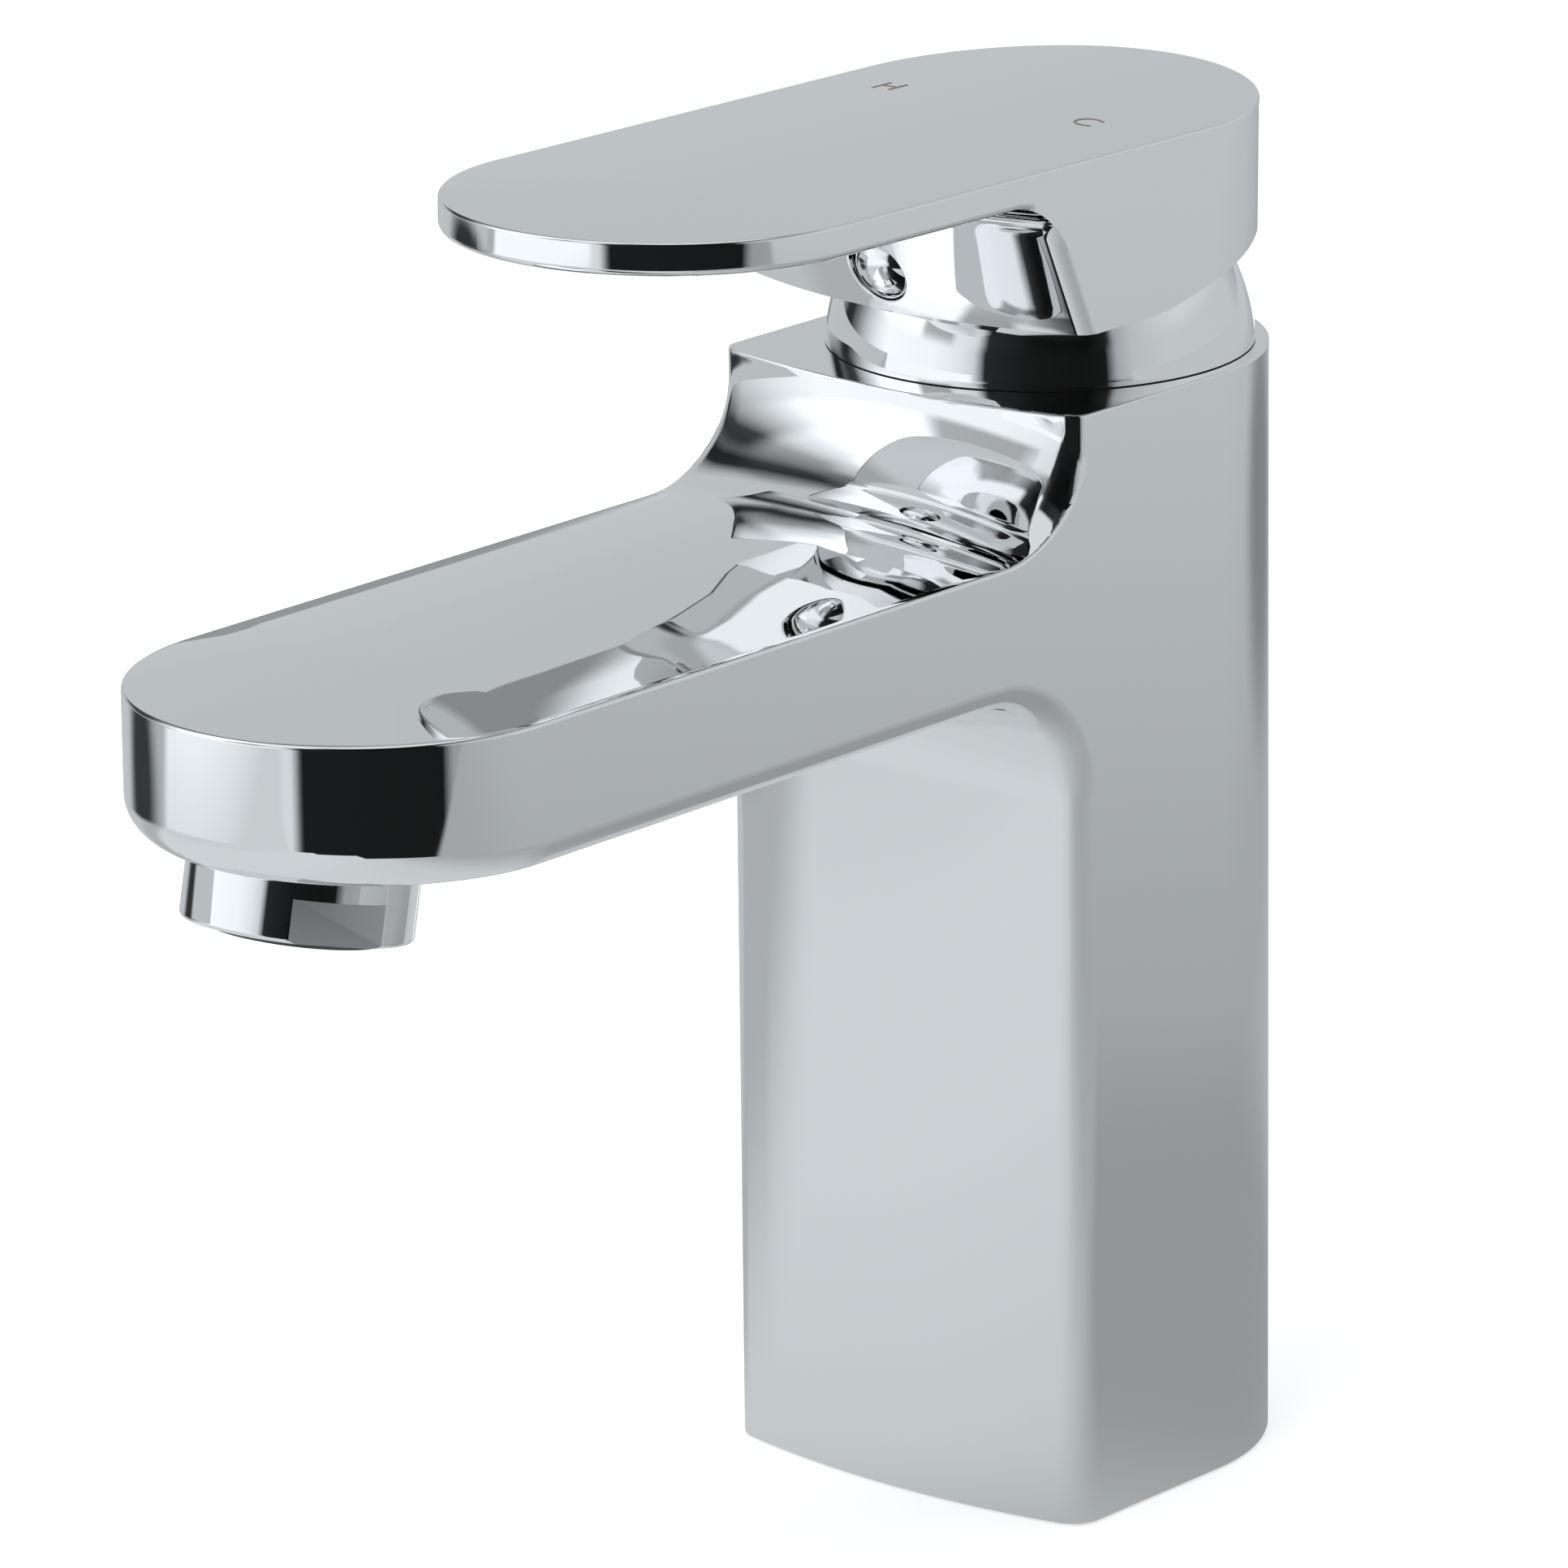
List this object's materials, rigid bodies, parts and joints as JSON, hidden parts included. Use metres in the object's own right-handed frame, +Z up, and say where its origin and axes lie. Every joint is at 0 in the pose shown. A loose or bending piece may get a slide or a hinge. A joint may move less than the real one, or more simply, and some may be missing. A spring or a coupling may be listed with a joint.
{
  "type": "bathroom basin mixer faucet",
  "caption": "Single-lever basin mixer with an upright column, level spout, aerator, and a lever handle that lifts and turns over a domed cartridge cover.",
  "frame": {"origin": "on the deck plane (underside of the foot), on the vertical axis of the cartridge, which is also the centre of the column's round rear and the axis the handle turns about", "axes": "+Z up out of the deck; the spout and the lever point along -Y; +X is to the faucet's left when it is seen from the front, that is from -Y looking along +Y it is to the viewer's right"},
  "size_m": [0.05, 0.159, 0.154],
  "materials": {
    "chrome_body": "polished chrome plate",
    "chrome_dome": "polished chrome plate",
    "chrome_handle": "polished chrome plate",
    "chrome_aerator": "polished chrome plate, fine brushed on the wrench flats",
    "dark_rubber": "smooth black rubber",
    "white_plastic": "moulded acetal, satin",
    "grey_plastic": "moulded, satin",
    "red_plastic": "moulded, satin",
    "insert_plastic": "moulded, satin",
    "ceramic": "lapped and polished ceramic",
    "brass": "turned, bright",
    "brass_stem": "machined, bright",
    "steel_screen": "punched stainless sheet",
    "steel_pin": "ground stainless",
    "steel_screw": "plain stainless"
  },
  "bodies": {
    "mixer_body": {"faucet_body": "chrome_body", "base_seal": "dark_rubber", "cartridge_base": "white_plastic", "base_port_seals": "dark_rubber", "disc_port_seals": "dark_rubber", "fixed_ceramic_disc": "ceramic", "cartridge_housing": "grey_plastic", "cartridge_lock_nut": "brass", "temperature_limit_ring": "red_plastic", "dome_seal": "dark_rubber", "dome_cover": "chrome_dome", "aerator_housing": "chrome_aerator", "aerator_insert": "insert_plastic", "aerator_screen": "steel_screen", "aerator_washer": "dark_rubber"},
    "rotor": {"cartridge_rotor": "white_plastic", "stem_pivot_pin": "steel_pin"},
    "lever": {"cartridge_stem": "brass_stem", "handle": "chrome_handle", "handle_grub_screw": "steel_screw"},
    "disc_slider": {"disc_carrier": "white_plastic", "moving_ceramic_disc": "ceramic"}
  },
  "joints": [
    {"name": "lever_swivel", "type": "hinge", "parent": "mixer_body", "child": "rotor", "pos_m": [0, 0, 0.124], "axis": [0, 0, 1], "range_deg": [-45, 45]},
    {"name": "lever_lift", "type": "hinge", "parent": "rotor", "child": "lever", "pos_m": [0, 0, 0.124], "axis": [-1, 0, 0], "range_deg": [0, 24]},
    {"name": "disc_slide", "type": "slide", "parent": "rotor", "child": "disc_slider", "axis": [0, -1, 0], "range_m": [0, 0.0065]}
  ],
  "couplings": [
    {"joint": "disc_slide", "follows": "lever_lift", "m_per_rad": 0.015051}
  ]
}
